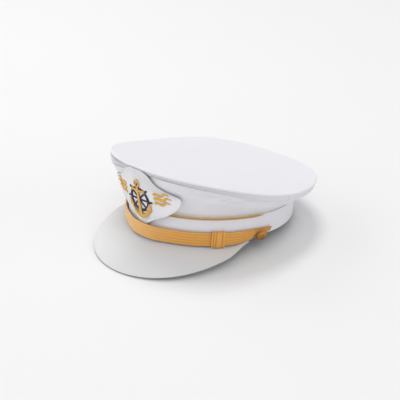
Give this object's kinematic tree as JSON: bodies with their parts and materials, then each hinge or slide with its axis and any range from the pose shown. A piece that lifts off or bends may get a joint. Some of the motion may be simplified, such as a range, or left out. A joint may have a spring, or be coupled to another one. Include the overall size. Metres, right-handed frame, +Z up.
{
  "type": "peaked sailor cap",
  "caption": "White peaked sailor cap with a wide round crown, low band, smooth visor, gold ribbed chin strap, side buttons, piping and a nautical badge panel.",
  "frame": {"origin": "middle of the footprint, on the surface the cap rests on", "axes": "+Z up, -Y towards the front of the cap (its peak), +X towards the wearer's left"},
  "size_m": [0.2166, 0.2666, 0.1049],
  "materials": {
    "white_cloth": "smooth white woven cloth, matte",
    "panel_cloth": "stiffened white cloth, matte",
    "visor": "satin white coated board",
    "gold_cord": "twisted gold cord",
    "gold_ribbon": "ribbed gold ribbon, satin",
    "button_metal": "domed gilt button, satin",
    "navy_thread": "dark navy embroidery thread",
    "gold_thread": "gold embroidery thread"
  },
  "bodies": {
    "root": {"crown_top": "white_cloth", "rim_strip": "white_cloth", "crown_side": "white_cloth", "band": "white_cloth", "welt_back": "white_cloth", "badge_panel": "panel_cloth", "peak": "visor", "piping_upper": "gold_cord", "piping_lower": "gold_cord", "chin_strap": "gold_ribbon", "slider_left": "gold_ribbon", "slider_right": "gold_ribbon", "button_left": "button_metal", "button_right": "button_metal", "emblem_wheel": "navy_thread", "emblem_anchor": "gold_thread", "emblem_wave_left_1": "gold_thread", "emblem_wave_left_2": "gold_thread", "emblem_wave_left_3": "gold_thread", "emblem_wave_right_1": "gold_thread", "emblem_wave_right_2": "gold_thread", "emblem_wave_right_3": "gold_thread"}
  },
  "joints": []
}
